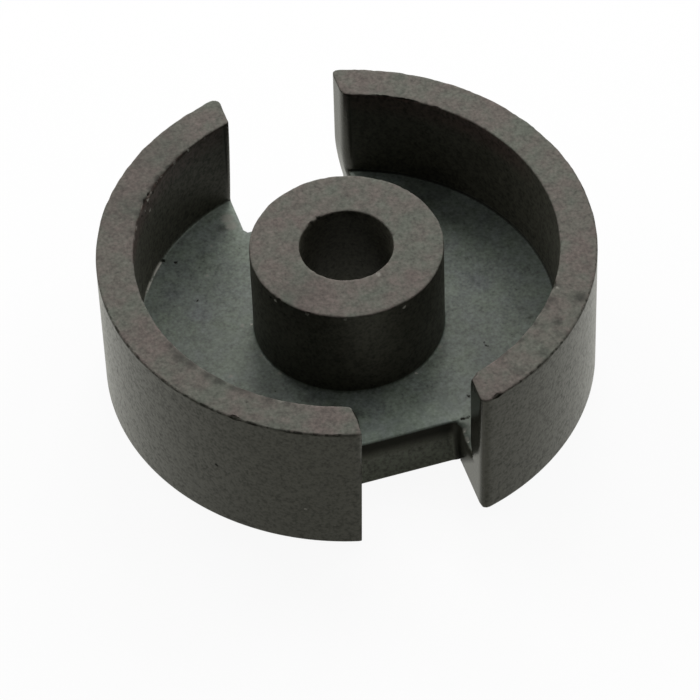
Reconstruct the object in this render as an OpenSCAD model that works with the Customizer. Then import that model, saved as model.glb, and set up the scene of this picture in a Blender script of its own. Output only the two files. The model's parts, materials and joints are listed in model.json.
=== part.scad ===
// One half of a ferrite pot core: a round base with a bored centre post and a ring wall, pressed
// and fired as one piece. A winding sits in the ring-shaped space between the post and the wall,
// and its leads leave through the slots. The post and the ring end level, in the plane that is
// ground flat to meet the other half. +Z points from the back to that plane.

/* [Base and ring] */
// Outside diameter of the ring
outer_d = 11.2; // [10.6:0.1:13]
// Height from the back to the mating face
height = 3.6; // [3:0.1:5]
// Inside diameter of the ring
ring_d = 9.5; // [8.8:0.1:10]
// Thickness of the base under the winding space
base_t = 1.1; // [0.9:0.05:1.8]

/* [Centre post] */
// Diameter of the post
post_d = 4.35; // [3.6:0.05:5.4]
// Diameter of the bore through the post and the base
bore_d = 2.1; // [1.2:0.05:3]

/* [Lead slots] */
// Number of slots round the ring
slot_count = 2; // [2, 4]
// Width of each slot
slot_w = 2.75; // [1.8:0.05:3.4]
// Distance from the axis to the end of each slot, at the floor of the winding space
slot_end = 3.63; // [3.3:0.03:4.2]
// How far the lower part of that end stands out under the upper part
end_step = 0.15; // [0.03:0.03:0.3]
// Height of that step above the back
end_step_h = 0.6; // [0.3:0.05:0.85]

/* [Edges] */
// Rounding of the edges of the mating face
face_round = 0.05; // [0.02:0.01:0.15]
// Rounding of the base's lower edges
back_round = 0.12; // [0.04:0.02:0.3]
// Fillet where the post and the ring rise from the base
root_fillet = 0.12; // [0.04:0.02:0.3]
// Rounding where a slot's sides meet the outside of the ring
mouth_round = 0.2; // [0.06:0.02:0.3]
// Rounding where a slot's sides meet the inside of the ring
lip_round = 0.08; // [0.04:0.02:0.14]
// Rounding of the two inner corners of a slot in the base
corner_round = 0.18; // [0.04:0.02:0.4]

/* [Hidden] */
$fn = 96;
outer_r = outer_d / 2;
ring_r = ring_d / 2;
post_r = post_d / 2;
bore_r = bore_d / 2;
side_x = slot_w / 2;
// Straight pieces in each rounded corner
arc_steps = 6;
// How far a cutter runs past the face that it opens
overrun = 1;
// Angle by which a cutter leaves a round wall, so that the two cross and don't just touch
leave_angle = 4;
// Length of a cutter's edge beyond a rounded corner, as a multiple of its radius
leave_length = 3;

function unit(v) = v / norm(v);

function flat(p) = [p.x, p.y];

// Points of an arc of radius r that rounds the corner b of the outline a, b, c
function round_corner(a, b, c, r) =
    let (
        to_a = unit(a - b),
        to_c = unit(c - b),
        half = acos(to_a * to_c) / 2,
        centre = b + unit(to_a + to_c) * r / sin(half),
        first = b + to_a * r / tan(half) - centre,
        last = b + to_c * r / tan(half) - centre,
        sweep = 180 - 2 * half
    )
    [for (i = [0 : arc_steps])
        let (done = sweep * i / arc_steps)
        centre + (first * sin(sweep - done) + last * sin(done)) / sin(sweep)];

// Closed outline of the corners [x, y, radius], each rounded by its own radius
function rounded(corners) =
    let (n = len(corners))
    [for (i = [0 : n - 1])
        let (
            before = flat(corners[(i + n - 1) % n]),
            here = flat(corners[i]),
            after = flat(corners[(i + 1) % n]),
            r = corners[i].z
        )
        each (r > 0 ? round_corner(before, here, after, r) : [here])];

// Point where the side of a slot along +Y meets a round wall of radius r, at +X
function side_at(r) = [side_x, sqrt(r * r - side_x * side_x)];

// Direction that leaves that point along the round wall, away from the slot, turned by an angle
function along_wall(r, turn) =
    let (a = asin(side_x / r) + turn)
    [cos(a), -sin(a)];

// Outline of a slot along +Y, from the corners of its inner end at +X, with its mouth outside
function slot_outline(inner_end) =
    let (
        mouth = side_at(outer_r),
        flare = mouth + along_wall(outer_r, -leave_angle) * leave_length * mouth_round,
        right = concat(inner_end, [
            [mouth.x, mouth.y, mouth_round],
            [flare.x, flare.y, 0],
            [flare.x, outer_r + overrun, 0]
        ]),
        left = [for (i = [len(right) - 1 : -1 : 0]) [-right[i].x, right[i].y, right[i].z]]
    )
    concat(right, left);

// Half section of the turned form, out from the axis: bore, base, ring, winding space and post
module turned_form() {
    rotate_extrude()
        polygon(rounded([
            [bore_r, 0, back_round],
            [outer_r, 0, back_round],
            [outer_r, height, face_round],
            [ring_r, height, face_round],
            [ring_r, base_t, root_fillet],
            [post_r, base_t, root_fillet],
            [post_r, height, face_round],
            [bore_r, height, face_round]
        ]));
}

// Cutter from a height upwards, out through the ring
module slot_cutter(from_z, inner_end) {
    translate([0, 0, from_z])
        linear_extrude(height + overrun - from_z)
            polygon(rounded(slot_outline(inner_end)));
}

// One lead slot along +Y: a step in its inner end, as the two halves of the die leave it, and
// rounded lips where it opens through the ring
module lead_slot() {
    lip = side_at(ring_r);
    lip_start = lip + along_wall(ring_r, leave_angle) * leave_length * lip_round;
    slot_cutter(-overrun, [[side_x, slot_end + end_step, corner_round]]);
    slot_cutter(end_step_h, [[side_x, slot_end, corner_round]]);
    slot_cutter(base_t, [[lip_start.x, lip_start.y, 0], [lip.x, lip.y, lip_round]]);
}

module core_half() {
    color([0.36, 0.36, 0.34])
        difference() {
            turned_form();
            for (i = [0 : slot_count - 1])
                rotate(i * 360 / slot_count)
                    lead_slot();
        }
}

core_half();
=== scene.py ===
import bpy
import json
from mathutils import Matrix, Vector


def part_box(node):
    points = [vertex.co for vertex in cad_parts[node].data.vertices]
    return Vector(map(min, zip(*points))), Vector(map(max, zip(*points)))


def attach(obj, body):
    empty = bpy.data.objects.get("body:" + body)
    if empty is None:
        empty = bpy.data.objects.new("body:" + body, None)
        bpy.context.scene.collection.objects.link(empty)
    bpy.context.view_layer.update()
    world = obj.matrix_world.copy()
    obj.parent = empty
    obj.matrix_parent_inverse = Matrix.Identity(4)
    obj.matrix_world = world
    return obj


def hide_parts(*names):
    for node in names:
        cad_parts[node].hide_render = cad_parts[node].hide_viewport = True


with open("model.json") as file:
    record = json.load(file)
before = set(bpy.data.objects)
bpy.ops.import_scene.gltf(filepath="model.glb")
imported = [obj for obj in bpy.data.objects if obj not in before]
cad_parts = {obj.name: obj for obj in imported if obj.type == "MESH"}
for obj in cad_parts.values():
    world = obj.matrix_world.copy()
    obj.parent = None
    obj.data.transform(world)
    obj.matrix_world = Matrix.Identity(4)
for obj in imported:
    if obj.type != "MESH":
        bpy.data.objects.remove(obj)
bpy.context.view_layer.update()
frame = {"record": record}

import json
import bmesh
import bpy
import numpy as np
from mathutils import Matrix, Vector

# ------------------------------------------------------------------------------------ core half
# The whole part is one piece of manganese-zinc ferrite: a round base, a ring wall and a bored
# post, pressed in a die and fired, with two lead slots through wall and base. The rim and the
# end of the post are ground flat after firing; every other face keeps its dull fired skin.

MM = 0.001
mounts = {mount["name"]: mount for mount in frame["record"]["mounts"]}
half_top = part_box("core_half")[1]
RIM_R = half_top[0] / MM                                    # outside of the ring wall
HEIGHT = half_top[2] / MM
WALL_R = 2 * mounts["mating_face"]["pos_m"][0] / MM - RIM_R     # inside of the ring wall
POST_R = mounts["centre_post"]["dims"]["r_mm"]
BORE_R = mounts["bore"]["dims"]["r_mm"]
FLOOR_Z = 1.1
SLOT_HALF = 1.375
FRONT_END, BACK_END = 3.63, 3.41    # where each slot stops in the floor, from the axis
END_LEAN = 0.2                     # how far its end face stands out at the back face
LEAN_Z = 0.85                      # the end face is upright above this height
LEAN_BEND = 1.3                    # power by which it curves outwards below that height

RIM_EDGE = 0.042                   # usual radius of the ground faces' edges
PLAIN_EDGE = 0.03                  # radius of the edges that nothing has worn
ROOT = 0.03                        # fillet where walls meet the floor
# Roundings at the right and left of the back slot, then of the front slot
MOUTH = (0.16, 0.2, 0.2, 0.03)     # slot sides into the outside of the wall
LIP = (0.2, 0.05, 0.07, 0.12)      # slot sides into the inside of the wall
SLOT_CORNER = (0.14, 0.06, 0.16, 0.1)     # slot sides into the slot's end face
EAR_WEAR = 0.13                    # more rounding on the ear of floor at the front right
BACK_RIGHT, FRONT_RIGHT, FRONT_LEFT = (1, 0, 0, 0), (0, 0, 1, 0), (0, 0, 0, 1)

BORDER_GAP = 0.0005                # border points nearer than this are joined
SAME_PLACE = 0.0002                # settled points nearer than this are one point


def crowded(start, end, steps, edges, reach=0.12, pull=5.0):
    """steps + 1 places from start to end, closer together near the given edges: the running total
    of 1 + pull * exp(-distance to an edge / reach), read off at equal steps."""
    fine = np.linspace(start, end, 3001)
    weight = 1 + sum(pull * np.exp(-np.abs(fine - edge) / reach) for edge in edges)
    total = np.concatenate([[0], np.cumsum((weight[1:] + weight[:-1]) / 2)])
    return np.interp(np.linspace(0, total[-1], steps + 1), total, fine)


def joined(*runs):
    """Runs of places put end to end, with the place that two runs share kept once."""
    return np.concatenate([runs[0]] + [run[1:] for run in runs[1:]])


def slot_end(z, at_floor):
    """Distance of a slot's end from the axis: its value at the floor, and below LEAN_Z more by the
    lean times the share of LEAN_Z still to go, to the power LEAN_BEND."""
    return at_floor + END_LEAN * np.clip(1 - z / LEAN_Z, 0, 1) ** LEAN_BEND


def along_side(radius):
    """Distance along the slot's side at which it meets a circle of that radius: the other leg of
    the triangle whose long side is the radius and whose first leg is half the slot's width."""
    return np.sqrt(radius ** 2 - SLOT_HALF ** 2)


NEAR_STEPS, EAR_STEPS, WALL_STEPS = 20, 18, 14
LOW_STEPS, HIGH_STEPS = 16, 26
FAN_STEPS, STRIP_STEPS = 98, 16
POST_STEPS, FACE_STEPS, BORE_STEPS, FOOT_STEPS = 22, 12, 14, 4

side_post, side_wall, side_rim = along_side(POST_R), along_side(WALL_R), along_side(RIM_R)
near = crowded(0, 1, NEAR_STEPS, [0, 1], reach=0.06, pull=4)
ear = crowded(0, 1, EAR_STEPS, [0, 1], reach=0.12, pull=3)
wall = crowded(0, 1, WALL_STEPS, [0, 1], reach=0.12, pull=6)
low_z = crowded(0, FLOOR_Z, LOW_STEPS, [0, FLOOR_Z], reach=0.08, pull=4)
high_z = crowded(FLOOR_Z, HEIGHT, HIGH_STEPS, [FLOOR_Z, HEIGHT], reach=0.12, pull=6)
wall_y = side_wall + (side_rim - side_wall) * wall

# The section of base and ring wall runs outwards over the floor, up and over the wall, down the
# outside and back under the base to the post.
section_z = joined(np.full(NEAR_STEPS + 1, FLOOR_Z), np.full(EAR_STEPS + 1, FLOOR_Z), high_z,
                   np.full(WALL_STEPS + 1, HEIGHT), high_z[::-1], low_z[::-1],
                   np.zeros(WALL_STEPS + EAR_STEPS + NEAR_STEPS + 1))


def section_radii(at_floor):
    """Radii of that section: the long side of the triangle of half the slot's width and the place
    on the slot's side, for a slot that ends at that distance."""
    at_back = slot_end(0, at_floor)
    near_y, near_low_y = side_post + (at_floor - side_post) * near, side_post + (at_back - side_post) * near
    ear_y, ear_low_y = at_floor + (side_wall - at_floor) * ear, at_back + (side_wall - at_back) * ear
    section_y = joined(near_y, ear_y, np.full(HIGH_STEPS + 1, side_wall), wall_y,
                       np.full(HIGH_STEPS + LOW_STEPS + 1, side_rim), wall_y[::-1],
                       ear_low_y[::-1], near_low_y[::-1])
    return np.hypot(section_y, SLOT_HALF)


# The post's section: up its wall, over its ground end, down the bore and back under the base.
face_r = crowded(POST_R, BORE_R, FACE_STEPS, [POST_R, BORE_R], reach=0.1, pull=5)
foot_r = crowded(BORE_R, POST_R, FOOT_STEPS, [BORE_R], reach=0.15, pull=4)
bore_z = crowded(HEIGHT, 0, BORE_STEPS, [0, HEIGHT], reach=0.12, pull=6)
post_z = crowded(FLOOR_Z, HEIGHT, POST_STEPS, [FLOOR_Z, HEIGHT], reach=0.12, pull=6)
post_r = joined(np.full(POST_STEPS + 1, POST_R), face_r, np.full(BORE_STEPS + 1, BORE_R), foot_r)
post_section_z = joined(post_z, np.full(FACE_STEPS + 1, HEIGHT), bore_z, np.zeros(FOOT_STEPS + 1))

fan = np.linspace(0, 1, FAN_STEPS + 1)
strip = np.linspace(0, 1, STRIP_STEPS + 1)
across = SLOT_HALF * strip


def turned(angles, radii, heights):
    """Grid of points round the axis: x is radius times cosine, y radius times sine of the angle."""
    return np.stack([radii * np.cos(angles), radii * np.sin(angles), heights + 0 * angles], axis=-1)


def quarter(at_floor):
    """The five grids of one quarter: base and wall, fanned between the long axis and the slot's
    side; the post; the floor between post and slot's end with the end face and the underside;
    and the two parts of the slot's side, in the base and in the wall."""
    at_back = slot_end(0, at_floor)
    own, shared = section_radii(at_floor), section_radii(FRONT_END)
    section_r = shared + (own - shared) * fan[:, None] ** 2
    fan_end = np.pi / 2 - np.arcsin(SLOT_HALF / own)
    base_and_wall = turned(fan[:, None] * fan_end, section_r, section_z)
    post_end = np.pi / 2 - np.arcsin(SLOT_HALF / POST_R)
    post_angles = joined(fan * post_end, np.arccos(across[::-1] / POST_R))
    post = turned(post_angles[:, None] + 0 * post_r, post_r, post_section_z)
    start = np.sqrt(POST_R ** 2 - across ** 2)[:, None]
    end_z = low_z[::-1]
    strip_y = np.concatenate([start + (at_floor - start) * near,
                              slot_end(end_z, at_floor)[1:] + 0 * start,
                              (start + (at_back - start) * near)[:, ::-1][:, 1:]], axis=1)
    strip_z = joined(np.full(NEAR_STEPS + 1, FLOOR_Z), end_z, np.zeros(NEAR_STEPS + 1))
    bridge = np.stack([across[:, None] + 0 * strip_y, strip_y, strip_z + 0 * strip_y], axis=-1)
    ear_start = slot_end(low_z, at_floor)[None, :]
    base_y = np.concatenate([ear_start + (side_wall - ear_start) * ear[:, None],
                             (wall_y[1:, None] + 0 * ear_start)])
    base_side = np.stack([SLOT_HALF + 0 * base_y, base_y, low_z + 0 * base_y], axis=-1)
    wall_side = np.stack(np.broadcast_arrays(SLOT_HALF, wall_y[:, None], high_z[None, :]), axis=-1)
    return [base_and_wall, post, bridge, base_side, wall_side]


def stitched(grids):
    """All grids as one list of points and one of four-cornered faces: the face at (i, j) takes the
    points (i, j), (i + 1, j), (i + 1, j + 1) and (i, j + 1) of its grid."""
    points, faces, count = [], [], 0
    for grid in grids:
        rows, columns = grid.shape[:2]
        index = np.arange(rows * columns).reshape(rows, columns) + count
        faces.append(np.stack([index[:-1, :-1], index[1:, :-1], index[1:, 1:], index[:-1, 1:]],
                              axis=-1).reshape(-1, 4))
        points.append(grid.reshape(-1, 3))
        count += rows * columns
    return np.concatenate(points), np.concatenate(faces)


def welded(name, grids):
    """One closed mesh out of grids whose borders share their points, all its faces outwards."""
    points, faces = stitched(grids)
    mesh = bpy.data.meshes.new(name)
    mesh.from_pydata(points, [], faces)
    shell = bmesh.new()
    shell.from_mesh(mesh)
    bmesh.ops.remove_doubles(shell, verts=shell.verts, dist=BORDER_GAP)
    bmesh.ops.recalc_face_normals(shell, faces=shell.faces)
    shell.to_mesh(mesh)
    shell.free()
    return mesh


def ripple(points, size, seed, waves=18):
    """Uneven field, mostly between -1 and 1: the sum of sine waves of about the given length, whose
    directions and starts are drawn at random, over the square root of half their number."""
    rng = np.random.default_rng(seed)
    heading = rng.normal(size=(waves, 3))
    heading *= (2 * np.pi / size * rng.uniform(0.6, 1.5, waves) / np.linalg.norm(heading, axis=1))[:, None]
    total = np.sin(points @ heading.T + rng.uniform(0, 2 * np.pi, waves)).sum(axis=1)
    return total / np.sqrt(waves * 2)


def overlap(first, second, radius):
    """Depth field (below 0 inside) of what two solids share, with the edge between them turned to an
    arc: the greater of the two, or near the edge the distance from the arc's centre less the radius."""
    arc = np.hypot(np.maximum(first + radius, 0), np.maximum(second + radius, 0))
    return np.minimum(-radius, np.maximum(first, second)) + arc


# Each chip: angle round the axis in degrees, distance from it, height, length, width and depth.
# They sit on the edges, where ferrite flakes when it is ground or knocked.
CHIPS = [
    (144.2, 4.75, 3.60, 0.12, 0.08, 0.10), (146.6, 4.74, 3.60, 0.09, 0.10, 0.09),
    (149.0, 4.74, 3.60, 0.07, 0.05, 0.06), (155.0, 4.75, 3.60, 0.07, 0.05, 0.05),
    (141.0, 4.75, 3.60, 0.10, 0.08, 0.08), (138.6, 4.75, 3.60, 0.07, 0.06, 0.07),
    (134.6, 4.75, 3.60, 0.06, 0.05, 0.06),
    (128.8, 4.74, 3.60, 0.07, 0.06, 0.06), (122.9, 4.74, 3.60, 0.05, 0.05, 0.05),
    (115.2, 4.74, 3.60, 0.05, 0.05, 0.05),
    (-133.2, 5.58, 3.60, 0.16, 0.05, 0.07), (-129.0, 5.59, 3.60, 0.12, 0.04, 0.05),
    (-155.3, 5.59, 3.60, 0.07, 0.04, 0.05), (-110.0, 5.60, 3.60, 0.10, 0.04, 0.05),
    (-150.7, 2.20, 3.58, 0.06, 0.05, 0.07), (-130.1, 2.20, 3.58, 0.06, 0.05, 0.07),
    (-73.0, 2.20, 3.58, 0.06, 0.05, 0.07), (-78.3, 2.19, 3.59, 0.05, 0.05, 0.05),
    (29.7, 5.60, 3.60, 0.08, 0.05, 0.05), (122.2, 1.03, 3.60, 0.10, 0.08, 0.06),
    (-72.1, 5.58, 3.60, 0.12, 0.07, 0.08), (-72.9, 4.75, 3.60, 0.13, 0.13, 0.20),
    (62.5, 4.75, 3.60, 0.34, 0.040, 0.07), (55.5, 4.75, 3.60, 0.36, 0.045, 0.07),
    (47.0, 4.75, 3.60, 0.14, 0.04, 0.05), (-33.5, 4.75, 3.60, 0.16, 0.05, 0.06),
]
PITS = [                            # x, y, radius of single pits in the floor
    (-3.48, 3.18, 0.045), (-3.25, 3.07, 0.035), (1.83, -3.02, 0.04), (1.75, -2.65, 0.025),
    (2.70, -1.67, 0.028), (-3.09, 1.73, 0.02), (-2.39, 2.94, 0.02),
]


def by_corner(x, y, values):
    """One of four values: back right, back left, front right or front left."""
    return np.where(y > 0, np.where(x > 0, values[0], values[1]), np.where(x > 0, values[2], values[3]))


def slot_half_width(x, y, z):
    """Half the slot's width. Every side leans a little, the back right one falls away below 1.3 mm
    near the outside, the front right one is lumpy next to the floor, and the front left one bulges
    at the rim."""
    low, out = 1 - z / HEIGHT, np.abs(y)
    width = by_corner(x, y, (1.355 - 0.02 * low, 1.37 + 0.14 * np.maximum(low, 0) ** 1.5,
                             1.355 - 0.02 * low, 1.37 + 0.085 * low))
    width = width + 0.17 * by_corner(x, y, BACK_RIGHT) * np.clip((1.6 - z) / 1.4, 0, 1) ** 1.6
    lumps = 0.045 * np.exp(-((out - 3.82) / 0.14) ** 2) - 0.03 * np.exp(-((out - 4.30) / 0.2) ** 2)
    width = width + by_corner(x, y, FRONT_RIGHT) * lumps * np.exp(-((z - 1.0) / 0.25) ** 2)
    bulge = 0.08 * np.exp(-((out - 4.85) / 0.3) ** 2 - ((z - HEIGHT) / 0.5) ** 2)
    return width - by_corner(x, y, FRONT_LEFT) * bulge


def half_field(points):
    """Depth below the fired and ground surface, in millimetres, negative inside: the outside circle,
    less the slots, the bore and the winding space, cut off by the two ends, each edge with its own
    rounding, less the chips."""
    x, y, z = points.T
    radius = np.hypot(x, y)
    end = slot_end(z, np.where(y > 0, BACK_END, FRONT_END))
    slot = overlap(np.abs(x) - slot_half_width(x, y, z), end - np.abs(y), by_corner(x, y, SLOT_CORNER))
    field = overlap(radius - RIM_R, -slot, by_corner(x, y, MOUTH))
    field = np.maximum(field, BORE_R - radius)
    field = overlap(field, -z, PLAIN_EDGE)
    winding = overlap(np.maximum(radius - WALL_R, POST_R - radius), FLOOR_Z - z, ROOT)
    lip = PLAIN_EDGE + (by_corner(x, y, LIP) - PLAIN_EDGE) * np.clip((radius - 4.2) / 0.3, 0, 1)
    ear_worn = EAR_WEAR * np.clip((radius - 3.95) / 0.2, 0, 1) * np.exp(-((z - FLOOR_Z) / 0.2) ** 2)
    field = overlap(field, -winding, lip + by_corner(x, y, FRONT_RIGHT) * ear_worn)
    worn = RIM_EDGE * np.clip(1 + 0.45 * ripple(points, 0.8, 3) + 0.4 * ripple(points, 0.22, 4), 0.3, 2.4)
    worn = worn * (1 + 1.3 * np.exp(-(np.hypot(x + 3.8, y - 2.9) / 1.1) ** 2) * (radius < 5.1))
    field = overlap(field, z - HEIGHT, worn)
    field = np.maximum(field, np.abs(y) - half_top[1] / MM)
    turn = np.arctan2(y, x)
    for angle, distance, at, length, width, depth in CHIPS:
        round_ = (turn - np.radians(angle) + np.pi) % (2 * np.pi) - np.pi
        reach = np.sqrt((round_ * distance / length) ** 2 + ((radius - distance) / width) ** 2
                        + ((z - at) / depth) ** 2)
        field = np.maximum(field, (1 - reach) * min(length, width, depth))
    for px, py, size in PITS:
        field = np.maximum(field, size - np.sqrt((x - px) ** 2 + (y - py) ** 2 + (z - FLOOR_Z) ** 2))
    return field


def settled(points, rounds=6, feel=0.002, least=0.2, stride=0.15):
    """Points moved onto the surface where half_field is 0: each round goes against the field's slope
    by the field over the slope's square, the slope taken from the field a little to each side. The
    square counts as least or more, and the quotient as no more than stride either way."""
    sides = np.eye(3) * feel
    for _ in range(rounds):
        level = half_field(points)
        slope = np.stack([half_field(points + side) - half_field(points - side) for side in sides], axis=1)
        slope /= 2 * feel
        size = np.maximum((slope ** 2).sum(axis=1), least)
        points = points - np.clip(level / size, -stride, stride)[:, None] * slope
    return points


def cleared(mesh, points):
    """The mesh with its points moved to those places and turned into metres, less the faces that
    have shrunk to a line or a point because their corners settled on one another."""
    mesh.vertices.foreach_set("co", points.ravel())
    shell = bmesh.new()
    shell.from_mesh(mesh)
    bmesh.ops.remove_doubles(shell, verts=shell.verts, dist=SAME_PLACE)
    bmesh.ops.dissolve_degenerate(shell, edges=shell.edges, dist=SAME_PLACE)
    bmesh.ops.recalc_face_normals(shell, faces=shell.faces)
    bmesh.ops.scale(shell, vec=(MM, MM, MM), verts=shell.verts)
    shell.to_mesh(mesh)
    shell.free()


quarters = [grid * np.array([sx, sy, 1.0]) for sy, at_floor in ((1, BACK_END), (-1, FRONT_END))
            for sx in (1, -1) for grid in quarter(at_floor)]
core_mesh = welded("ferrite_half", quarters)
rough = np.empty(len(core_mesh.vertices) * 3)
core_mesh.vertices.foreach_get("co", rough)
cleared(core_mesh, settled(rough.reshape(-1, 3)))
core_mesh.shade_smooth()
core_mesh.update()
core = bpy.data.objects.new("ferrite_half", core_mesh)
bpy.context.collection.objects.link(core)


class Wire:
    """A socket whose arithmetic adds Math nodes to its material."""

    def __init__(self, finish, socket):
        self.finish, self.socket = finish, socket

    def _math(self, operation, *values, clamp=False):
        return self.finish.add("ShaderNodeMath", {"operation": operation, "use_clamp": clamp},
                               {i: value for i, value in enumerate(values)})

    def __add__(self, other):
        return self._math("ADD", self, other)

    def __sub__(self, other):
        return self._math("SUBTRACT", self, other)

    def __rsub__(self, other):
        return self._math("SUBTRACT", other, self)

    def __mul__(self, other):
        return self._math("MULTIPLY", self, other)

    def __pow__(self, other):
        return self._math("POWER", self, other)

    __radd__ = __add__
    __rmul__ = __mul__

    def most(self, other):
        return self._math("MAXIMUM", self, other)

    def size(self):
        return self._math("ABSOLUTE", self)

    def clamp(self):
        return self._math("ADD", self, 0.0, clamp=True)

    def beside(self, name):
        """Another output of the same node."""
        return Wire(self.finish, self.socket.node.outputs[name])

    def rises(self, start, end):
        """0 up to start, 1 from end on, and a smooth step between them; start may be the greater."""
        return self.finish.add("ShaderNodeMapRange", {"interpolation_type": "SMOOTHSTEP"},
                               {"Value": self, "From Min": start, "From Max": end})


class Finish:
    """A material and its nodes."""

    def __init__(self, name):
        self.material = bpy.data.materials.new(name)
        self.material.use_nodes = True
        self.tree = self.material.node_tree
        self.tree.nodes.clear()

    def add(self, kind, settings=None, sockets=None, out=0):
        """A node of that kind; its settings first, then its sockets, each with a value or a link."""
        node = self.tree.nodes.new(kind)
        for key, value in (settings or {}).items():
            setattr(node, key, value)
        for key, value in (sockets or {}).items():
            if isinstance(value, Wire):
                self.tree.links.new(value.socket, node.inputs[key])
            else:
                node.inputs[key].default_value = value
        return Wire(self, node.outputs[out])

    def noise(self, place, size, detail=2.0, roughness=0.5, shift=0.0):
        """Noise from 0 to 1 whose largest features are about size millimetres across."""
        return self.add("ShaderNodeTexNoise", {"noise_dimensions": "4D"},
                        {"Vector": place, "W": shift, "Scale": 1 / size, "Detail": detail,
                         "Roughness": roughness})

    def mix(self, amount, first, second, blend="MIX"):
        """The first colour turned into the second by the amount."""
        return self.add("ShaderNodeMix", {"data_type": "RGBA", "blend_type": blend},
                        {"Factor": amount, 6: first, 7: second}, out=2)

    def cover(self, mesh, shader):
        """Give the mesh this material, with that shader as its surface."""
        output = self.tree.nodes.new("ShaderNodeOutputMaterial")
        self.tree.links.new(shader.socket, output.inputs["Surface"])
        mesh.materials.append(self.material)


def paint(red, green, blue):
    """A linear colour from the 0 to 255 numbers of a screen colour."""
    screen = np.array([red, green, blue]) / 255
    linear = np.where(screen <= 0.04045, screen / 12.92, ((screen + 0.055) / 1.055) ** 2.4)
    return (*linear.tolist(), 1.0)


ferrite = Finish("ferrite_fired_and_ground")
place = ferrite.add("ShaderNodeVectorMath", {"operation": "SCALE"},
                    {0: ferrite.add("ShaderNodeTexCoord", out=3), "Scale": 1 / MM})
split = ferrite.add("ShaderNodeSeparateXYZ", sockets={0: place})
at_x, at_y, at_z = (split.beside(name) for name in "XYZ")
at_r = (at_x * at_x + at_y * at_y) ** 0.5

# Where each kind of surface lies, from 0 to 1: the ground faces, the floor, the outside wall, the
# sides of the slots, the front slot's end face and the wall of the post.
out_y = at_y.size()
ground = at_z.rises(HEIGHT - 0.035, HEIGHT - 0.012)
floor = at_z.rises(FLOOR_Z + 0.09, FLOOR_Z + 0.03) * at_z.rises(FLOOR_Z - 0.08, FLOOR_Z - 0.03) \
    * at_r.rises(WALL_R + 0.02, WALL_R - 0.03)
outside = at_r.rises(RIM_R - 0.1, RIM_R - 0.03) * (1 - ground)
slot_side = at_x.size().rises(1.6, 1.5) * out_y.rises(3.35, 3.5) * (1 - outside) * (1 - ground) \
    * (1 - floor) * at_x.size().rises(1.2, 1.3)
slot_foot = out_y.rises(3.95, 3.85) * at_x.size().rises(1.4, 1.25) * at_r.rises(3.2, 3.4) \
    * at_z.rises(FLOOR_Z - 0.01, FLOOR_Z - 0.05) * at_z.rises(0.005, 0.03) * at_y.rises(1, -1)
post_wall = at_r.rises(2.4, 2.25) * at_r.rises(1.5, 1.9) * (1 - ground) * (1 - floor)

FRAY = 0.06                         # how far the outlines of the marks stray, in millimetres
GRAIN, CLOUD, PATCH, DRIFT = 0.075, 0.2, 0.35, 1.1      # sizes of the noises, in millimetres
frays = ferrite.add("ShaderNodeTexNoise", sockets={"Vector": place, "Scale": 18.0, "Detail": 2.0}, out=1)
frays = ferrite.add("ShaderNodeVectorMath", {"operation": "MULTIPLY_ADD"},
                    {0: frays, 1: (2 * FRAY,) * 3, 2: (-FRAY,) * 3})
frayed = ferrite.add("ShaderNodeVectorMath", {"operation": "ADD"}, {0: place, 1: frays})


def marks(spots, soft=0.4):
    """1 on any of the spots (x, y, z, radius), 0 away from them, with frayed outlines."""
    total = None
    for x, y, z, radius in spots:
        gap = ferrite.add("ShaderNodeVectorMath", {"operation": "DISTANCE"}, {0: frayed, 1: (x, y, z)}, out=1)
        mark = gap.rises(radius, radius * soft)
        total = mark if total is None else total.most(mark)
    return total


# Marks, each with its place x, y and z and its radius in millimetres. MAUVE, GREENISH and BLUISH
# tint the ground faces and the floor; SMUDGES_AND_SHADOW, RUBBED and DULL_AND_SHADOW darken them, and a few
# floor marks among
# SMUDGES_AND_SHADOW and DULL_AND_SHADOW are painted shadow of the post and of the back right wall;
# FLECKS_AND_HIGHLIGHTS, BRIGHT_AND_HIGHLIGHTS and
# FOOT_LINE are bare light grains, except those on the ear of floor at the front right, which are
# painted highlights; DARK_SPOTS are pits; PAINTED_LIGHT_MARKS is painted light on the front slot's right
# side.
MAUVE = [(-4.9, -1.4, 3.6, 0.9), (-1.1, -1.3, 3.6, 0.8), (4.7, -2.0, 3.6, 0.6), (-3.9, 3.4, 3.6, 1.0),
         (-1.9, -4.7, 3.6, 0.7), (-1.3, 1.2, 3.6, 0.8), (2.0, 4.8, 3.6, 0.8), (1.2, -1.4, 3.6, 0.4),
         (2.0, -4.3, 3.6, 0.35)]
GREENISH = [(-4.0, -3.1, 3.6, 0.8), (0.0, -1.7, 3.6, 0.6), (1.6, 0.2, 3.6, 0.9), (2.9, -4.2, 3.6, 0.7),
            (-1.65, -5.15, 3.6, 0.4)]
# The two floor marks in front of the post and the large floor mark at the back right are painted shadow, of
# the post and of the back right wall.
SMUDGES_AND_SHADOW = [(4.85, -2.30, 3.6, 0.16), (4.40, -3.16, 3.6, 0.2), (3.68, -3.70, 3.6, 0.2),
           (3.59, -4.07, 3.6, 0.14), (3.11, -4.44, 3.6, 0.16), (2.41, -4.81, 3.6, 0.18),
           (2.14, -4.26, 3.6, 0.14), (-4.49, -1.87, 3.6, 0.2), (-4.25, -2.20, 3.6, 0.16),
           (-3.77, -2.89, 3.6, 0.22), (-3.38, -3.27, 3.6, 0.18), (-1.57, -1.98, 1.1, 0.25),
           (-0.66, -2.73, 1.1, 0.2), (3.94, -1.26, 1.1, 0.06), (3.36, -1.68, 1.1, 0.06),
           (-1.87, 3.66, 1.1, 0.14), (3.0, 3.4, 1.1, 0.8)]
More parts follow.
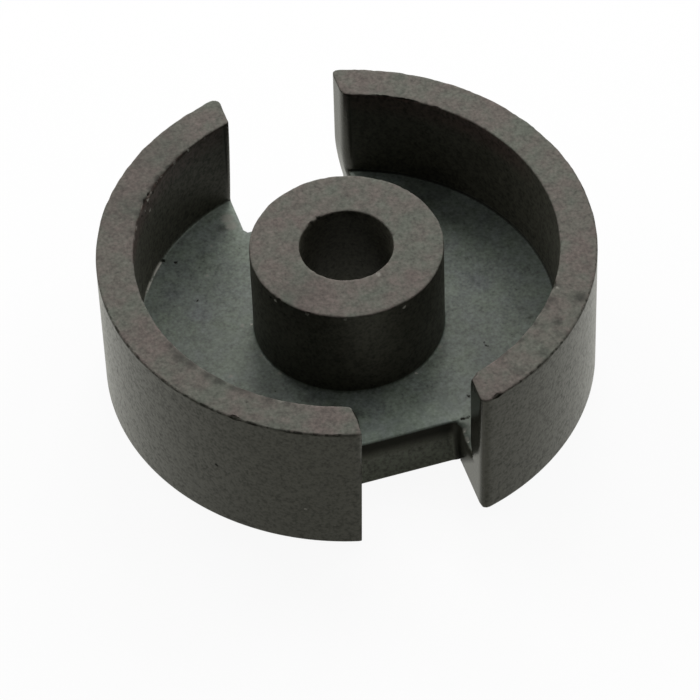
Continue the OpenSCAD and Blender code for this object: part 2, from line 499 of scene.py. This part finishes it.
RUBBED = [(-4.43, -2.05, 3.6, 0.26), (-4.27, -2.29, 3.6, 0.24), (-4.03, -2.69, 3.6, 0.22),
          (-3.83, -2.94, 3.6, 0.26), (-3.55, -3.22, 3.6, 0.24), (-3.34, -3.41, 3.6, 0.22),
          (-3.65, 3.15, 3.6, 0.17), (-3.40, 3.40, 3.6, 0.15), (-3.10, 3.66, 3.6, 0.13),
          (-3.92, 2.82, 3.6, 0.17), (-4.14, 2.48, 3.6, 0.15), (-4.42, 1.95, 3.6, 0.12),
          (3.68, -3.74, 3.6, 0.14), (-2.95, -3.79, 3.6, 0.24), (-2.6, -4.0, 3.6, 0.2),
          (3.75, -3.04, 3.6, 0.2),
          (4.0, -2.65, 3.6, 0.13), (3.6, -3.18, 3.6, 0.13), (3.2, -3.58, 3.6, 0.12),
          (2.72, -3.95, 3.6, 0.13), (2.3, -4.2, 3.6, 0.12), (2.26, 4.20, 3.6, 0.12),
          (2.54, 4.03, 3.6, 0.12), (2.83, 3.84, 3.6, 0.10),
          (3.08, 3.65, 3.6, 0.10), (1.45, -3.9, 1.1, 0.4), (1.45, -4.25, 1.1, 0.4), (-1.92, 3.72, 1.1, 0.24),
          (4.37, -3.19, 3.6, 0.24), (3.88, -1.24, 1.1, 0.08), (-4.55, -1.61, 3.6, 0.16)]
# The floor mark at the left front of the post is painted shadow of the post.
DULL_AND_SHADOW = [(-3.2, 4.1, 3.6, 1.7), (-4.3, 2.8, 3.6, 1.2), (-2.1, -1.5, 1.1, 0.7), (1.4, -3.1, 1.1, 0.6),
        (3.8, -1.2, 1.1, 0.8), (-1.4, -1.1, 3.6, 0.9)]
FOOT_LINE = [(-3.88, 2.74, 1.1, 0.62)]
BLUISH = [(3.05, 0.13, 1.1, 0.7), (-3.14, 1.38, 1.1, 0.6), (-3.6, 2.2, 1.1, 0.4)]
# The three marks at x about 1.37 and height about 1.09 are painted highlights on the lumpy ear of floor at
# the front right.
FLECKS_AND_HIGHLIGHTS = [(4.01, -2.75, 3.6, 0.04), (3.29, -3.41, 3.6, 0.04), (0.41, -1.07, 3.59, 0.07),
          (-4.26, 2.10, 3.55, 0.06), (-4.39, 1.80, 3.55, 0.05), (-3.42, 3.29, 3.56, 0.06),
          (-3.29, 3.42, 3.56, 0.05), (-2.88, 3.77, 3.55, 0.06), (-2.01, 4.30, 3.55, 0.04),
          (-1.43, -1.64, 3.53, 0.06), (-0.68, -2.07, 3.53, 0.06), (-2.2, -0.35, 1.12, 0.06),
          (-1.98, -1.01, 1.12, 0.07), (1.7, -1.43, 1.12, 0.07), (-3.65, 3.00, 1.12, 0.07),
          (1.39, -3.95, 1.09, 0.11), (1.37, -4.2, 1.09, 0.10), (1.35, -4.45, 1.08, 0.08),
          (-3.66, 3.02, 3.54, 0.06), (-4.25, 2.11, 3.50, 0.06),
          (-2.30, 3.27, 1.1, 0.05), (-2.67, 2.40, 1.1, 0.05), (-3.04, -0.74, 1.1, 0.07),
          (-2.34, 0.65, 1.1, 0.07), (-2.59, -4.97, 1.06, 0.04), (4.22, -3.69, 3.23, 0.06),
          (-5.30, -1.82, 0.94, 0.04), (-1.70, 3.98, 1.1, 0.21), (-1.68, 3.72, 1.1, 0.18)]
# The last three marks are painted highlights on the lumpy ear of floor at the front right.
BRIGHT_AND_HIGHLIGHTS = [(-2.49, 4.04, 3.56, 0.05), (-3.77, 2.88, 3.5, 0.06), (-3.74, 2.93, 3.11, 0.055),
          (-3.91, 2.70, 3.36, 0.05), (-1.96, -0.95, 3.45, 0.045), (0.68, -2.07, 3.46, 0.05),
          (0.94, -2.02, 1.12, 0.045), (-2.14, 0.61, 1.12, 0.045), (1.39, -3.98, 1.1, 0.05),
          (1.38, -4.27, 1.09, 0.05), (1.35, -4.5, 1.08, 0.045)]
DARK_SPOTS = [(2.70, -1.74, 1.1, 0.05), (2.69, -1.62, 1.1, 0.035), (-3.23, 3.03, 1.1, 0.065),
              (-3.09, 1.72, 1.1, 0.045), (1.46, -3.62, 1.1, 0.05), (1.51, -3.635, 1.1, 0.045),
              (1.56, -3.64, 1.1, 0.045), (1.61, -3.63, 1.1, 0.045), (1.65, -3.61, 1.1, 0.04),
              (1.82, -3.04, 1.1, 0.06), (-3.48, 3.18, 1.1, 0.075), (-4.21, -3.69, 1.75, 0.05),
              (-0.33, 1.02, 3.6, 0.08), (1.37, -4.9, 3.45, 0.07), (1.36, -4.72, 3.45, 0.08),
              (-4.02, 2.52, 3.42, 0.045), (-4.30, 2.00, 3.53, 0.045), (-3.59, 3.10, 3.48, 0.06),
              (-3.79, 2.86, 3.39, 0.045), (-3.80, 2.80, 3.25, 0.05), (-2.03, -0.80, 3.42, 0.05)]
# Painted light on the front slot's right side, next to its end face.
PAINTED_LIGHT_MARKS = [(1.36, -4.0, 0.9, 0.75), (1.36, -4.35, 1.0, 0.5)]

GROUND_WARM, GROUND_COOL = paint(93, 84, 80), paint(85, 88, 80)
FLOOR_GREEN, FLOOR_BLUE = paint(109, 119, 108), paint(106, 112, 112)
SKIN, SKIN_PALE, SKIN_BROWN = paint(60, 59, 50), paint(67, 66, 57), paint(72, 59, 54)
# HOLLOW_AND_SHADE is also the colour of painted shade, and HOLLOW_PAINTED_LIGHT that of painted light over
# it.
HOLLOW_AND_SHADE, HOLLOW_PAINTED_LIGHT = paint(34, 34, 29), paint(66, 66, 58)
FLECK_AND_HIGHLIGHT, BARE_GRAIN_AND_HIGHLIGHT = paint(140, 138, 130), paint(178, 176, 166)

drift = ferrite.noise(place, DRIFT, detail=2, roughness=0.6).rises(0.35, 0.65)
patches = ferrite.noise(place, PATCH, detail=3, roughness=0.6, shift=5.0).rises(0.35, 0.65)
tint = drift * 0.45 + patches * 0.55
floor_tint = (tint * 0.7 + marks(BLUISH, 0.0) * 0.5).clamp()
ground_tint = (tint - marks(MAUVE, 0.0) * 0.5 + marks(GREENISH, 0.0) * 0.5).clamp()
ground_colour = ferrite.mix(ground_tint, GROUND_WARM, GROUND_COOL)
floor_colour = ferrite.mix(floor_tint, FLOOR_GREEN, FLOOR_BLUE)
brown_top = at_r.rises(4.2, 4.5) * at_r.rises(WALL_R + 0.1, WALL_R + 0.03) \
    * at_z.rises(HEIGHT - 0.75, HEIGHT - 0.25) * at_y.rises(0.6, 1.8)
skin_colour = ferrite.mix(brown_top, ferrite.mix(tint, SKIN, SKIN_PALE), SKIN_BROWN)
# Painted light: the lower part of the front slot's end face is made paler and greener, standing in for light
# thrown up from the floor.
slot_foot_painted_light = slot_foot * at_z.rises(0.85, 0.45)
skin_colour = ferrite.mix(slot_foot_painted_light * 0.35, skin_colour, FLOOR_GREEN)
colour = ferrite.mix(ground, ferrite.mix(floor, skin_colour, floor_colour), ground_colour)

# The brightness of the grain, and the places where the dark dull shader goes in: pores, pits, mottle and
# painted shade.
grain = ferrite.noise(place, GRAIN, detail=1.5, roughness=0.6, shift=2.0)
cloud = ferrite.noise(place, CLOUD, detail=2, roughness=0.6, shift=8.0)
# Painted light: the floor towards the ends of the slots is made lighter.
floor_painted_light_near_slots = at_x.size().rises(2.1, 1.2) * at_r.rises(2.7, 3.4) * floor
speckle = (grain - 0.5) * 1.5 + (cloud - 0.5) * 0.9 + 1.0 + floor_painted_light_near_slots * 0.45
speckle = speckle * (1 - marks(SMUDGES_AND_SHADOW) * 0.3) * (1 - marks(RUBBED, 0.0) * 0.6) \
    * (1 - marks(DULL_AND_SHADOW, 0.0) * 0.22) * (1 - outside * 0.65) * (1 - slot_side * 0.6) * (1 - post_wall * 0.3)
# Painted light: the front slot's right side is lightened next to its end face, where it lies in shade.
side_painted_light = slot_side * marks(PAINTED_LIGHT_MARKS)
speckle = speckle * (1 + slot_foot_painted_light * 0.25) * (1 + side_painted_light * 1.6)
colour = ferrite.mix(1.0, colour, ferrite.add("ShaderNodeCombineColor", sockets={
    0: speckle, 1: speckle, 2: speckle}), blend="MULTIPLY")
colour = ferrite.mix(marks(FLECKS_AND_HIGHLIGHTS) * 0.65, colour, FLECK_AND_HIGHLIGHT)
foot_line = marks(FOOT_LINE, 0.8) * at_r.rises(WALL_R - 0.05, WALL_R - 0.03) * patches.rises(0.2, 0.6) \
    * at_r.rises(WALL_R + 0.01, WALL_R - 0.01) * at_z.rises(1.2, 1.15)
colour = ferrite.mix(marks(BRIGHT_AND_HIGHLIGHTS).most(foot_line), colour, BARE_GRAIN_AND_HIGHLIGHT)
pores = grain.rises(0.26, 0.2) * 0.7
mottle = ((0.56 - grain) * 1.4 + (0.5 - cloud) * 0.5).clamp() * (1 - ground) * (1 - floor) \
    * (1 - slot_side * 0.75)
# Painted shade: a broken dark line along the front half of the rim's outer edge, standing in for its dark
# reflection.
front_rim_edge_painted_shade = at_r.rises(RIM_R - 0.055, RIM_R - 0.025) * at_z.rises(HEIGHT - 0.075, HEIGHT - 0.04) \
    * cloud.rises(0.5, 0.6) * at_y.rises(1.5, -0.5)
# Painted shade on the fillet at the foot of the inner wall, on the right side only.
right_foot_painted_shade = at_r.rises(WALL_R - 0.05, WALL_R - 0.02) * at_z.rises(FLOOR_Z + 0.06, FLOOR_Z + 0.03) \
    * at_z.rises(FLOOR_Z - 0.05, FLOOR_Z - 0.02) * at_r.rises(WALL_R + 0.03, WALL_R) * at_x.rises(0, 1)
# Painted shade on the front slot's right side next to its end face, bounded by a slanting line, not soot.
slot_side_painted_shade = slot_side * (out_y - at_z * 0.88).rises(4.15, 3.72) * at_z.rises(1.15, 1.0) * at_y.rises(0, -1)
# Besides pores, pits and mottle this mixes in painted shade: the upper part of the front slot's end face, the
# front rim edge line, the front slot's right side next to its end and the right foot fillet.
pores_and_painted_shade = pores.most(marks(DARK_SPOTS)).most(front_rim_edge_painted_shade * 0.7).most(mottle) \
    .most(slot_foot * at_z.rises(0.5, 0.9) * 0.9).most(slot_side * 0.24) \
    .most(slot_side_painted_shade * 0.85).most(right_foot_painted_shade * 0.8)

fine_bump = ferrite.add("ShaderNodeBump", sockets={"Strength": 0.35, "Distance": 0.012 * MM, "Height": grain})
roughness = 0.55 + 0.2 * ground - 0.02 * floor - 0.26 * outside - 0.31 * slot_side - 0.2 * slot_foot
body = ferrite.add("ShaderNodeBsdfPrincipled", sockets={
    "Base Color": colour, "Roughness": roughness, "IOR": 1.4, "Specular Tint": (1, 1, 0.86, 1),
    "Normal": fine_bump})
# A dark, dull shader for pores, pits and painted shade.
pore_and_shade_bsdf = ferrite.add("ShaderNodeBsdfPrincipled", sockets={
    "Base Color": ferrite.mix(side_painted_light, HOLLOW_AND_SHADE, HOLLOW_PAINTED_LIGHT), "Roughness": 0.9,
    "Specular IOR Level": 0.05})
shader = ferrite.add("ShaderNodeMixShader", sockets={0: pores_and_painted_shade, 1: body, 2: pore_and_shade_bsdf})
ferrite.cover(core_mesh, shader)

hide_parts("core_half")
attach(core, "root")

# ---------------------------------------------------------------------------- floor and lights
# The part stands on a plain white sheet, under six soft square lamps that hang in an arc behind
# it and to its sides.

TABLE = 0.6
LAMP_DISTANCE, LAMP_SIZE = 0.12, 0.05
SEEN_GLOW, MIRRORED_GLOW, ROOM_GLOW = 0.93, 0.88, 0.03
SHEET_Z = -0.005 * MM               # a hair under the part, so that the two faces never coincide
sheet_mesh = bpy.data.meshes.new("white_sheet")
sheet_mesh.from_pydata([(-TABLE, -TABLE, SHEET_Z), (TABLE, -TABLE, SHEET_Z), (TABLE, TABLE, SHEET_Z),
                        (-TABLE, TABLE, SHEET_Z)], [], [(0, 1, 2, 3)])
sheet = bpy.data.objects.new("white_sheet", sheet_mesh)
bpy.context.collection.objects.link(sheet)

paper = Finish("white_paper")
lit = paper.add("ShaderNodeBsdfDiffuse", sockets={"Color": (0.9, 0.9, 0.9, 1)})
seen = paper.add("ShaderNodeLightPath")
mirrored = seen.beside("Is Glossy Ray")
glow = paper.add("ShaderNodeEmission", sockets={
    "Color": paper.mix(mirrored, (1, 1, 1, 1), (1, 1, 0.92, 1)), "Strength": 1.0})
shown = paper.add("ShaderNodeMixShader", sockets={
    0: seen * SEEN_GLOW + mirrored * MIRRORED_GLOW, 1: lit, 2: glow})
paper.cover(sheet_mesh, shown)


def soft_lamp(name, azimuth, elevation, power):
    """Square area lamp that looks at the part. Azimuth 0 is behind it (+Y), 90 is at its right (+X)."""
    lamp = bpy.data.lights.new(name, "AREA")
    lamp.shape = "SQUARE"
    lamp.size = LAMP_SIZE
    lamp.energy = power
    round_, up = np.radians(azimuth), np.radians(elevation)
    towards = Vector((np.sin(round_) * np.cos(up), np.cos(round_) * np.cos(up), np.sin(up)))
    at = towards * LAMP_DISTANCE
    holder = bpy.data.objects.new(name, lamp)
    holder.matrix_world = Matrix.Translation(at) @ at.to_track_quat("Z", "Y").to_matrix().to_4x4()
    bpy.context.collection.objects.link(holder)


for name, azimuth, elevation, power in [
        ("lamp_behind_high", 22, 50, 0.031), ("lamp_behind_low", 22, 30, 0.050),
        ("lamp_behind_left", -20, 38, 0.060), ("lamp_right", 60, 35, 0.047),
        ("lamp_left", -60, 30, 0.026), ("lamp_far_right", 100, 50, 0.016)]:
    soft_lamp(name, azimuth, elevation, power)

world = bpy.data.worlds.new("studio")
bpy.context.scene.world = world
world.use_nodes = True
room = world.node_tree.nodes["Background"]
room.inputs["Color"].default_value = (1, 1, 1, 1)
room.inputs["Strength"].default_value = ROOM_GLOW

# -------------------------------------------------------------------------------------- camera
# A long lens from the front left, looking down at about 47.5 degrees, with the part high in view.
# The picture is square, and the aim point falls a little above its centre.

AIM = Vector((0, 0, 1.6)) * MM
AZIMUTH, ELEVATION, ROLL = np.radians([-16.1, 47.526, -2.198])
DISTANCE = 99.558 * MM
PICTURE = 700                       # pixels across the square picture
SENSOR = 36                         # millimetres across the camera's sensor
FOCAL = 4400                        # focal length in pixels of that picture
OFFSET = (-1.288, -44.18)           # where the aim point falls, right and down from the centre

back = Vector((np.sin(AZIMUTH) * np.cos(ELEVATION), -np.cos(AZIMUTH) * np.cos(ELEVATION),
               np.sin(ELEVATION)))
level = Vector((np.cos(AZIMUTH), np.sin(AZIMUTH), 0))
right = Matrix.Rotation(ROLL, 3, back) @ level
lens = bpy.data.cameras.new("camera")
lens.sensor_width = SENSOR
lens.lens = FOCAL * SENSOR / PICTURE
lens.clip_start = 0.001
lens.clip_end = 10
camera = bpy.data.objects.new("camera", lens)
turn = Matrix((right, back.cross(right), back)).transposed()
turn = turn @ Matrix.Rotation(np.arctan(OFFSET[1] / FOCAL), 3, "X")
turn = turn @ Matrix.Rotation(np.arctan(OFFSET[0] / FOCAL), 3, "Y")
camera.matrix_world = Matrix.Translation(AIM + back * DISTANCE) @ turn.to_4x4()
bpy.context.collection.objects.link(camera)
bpy.context.scene.camera = camera
bpy.context.scene.view_settings.view_transform = "Standard"
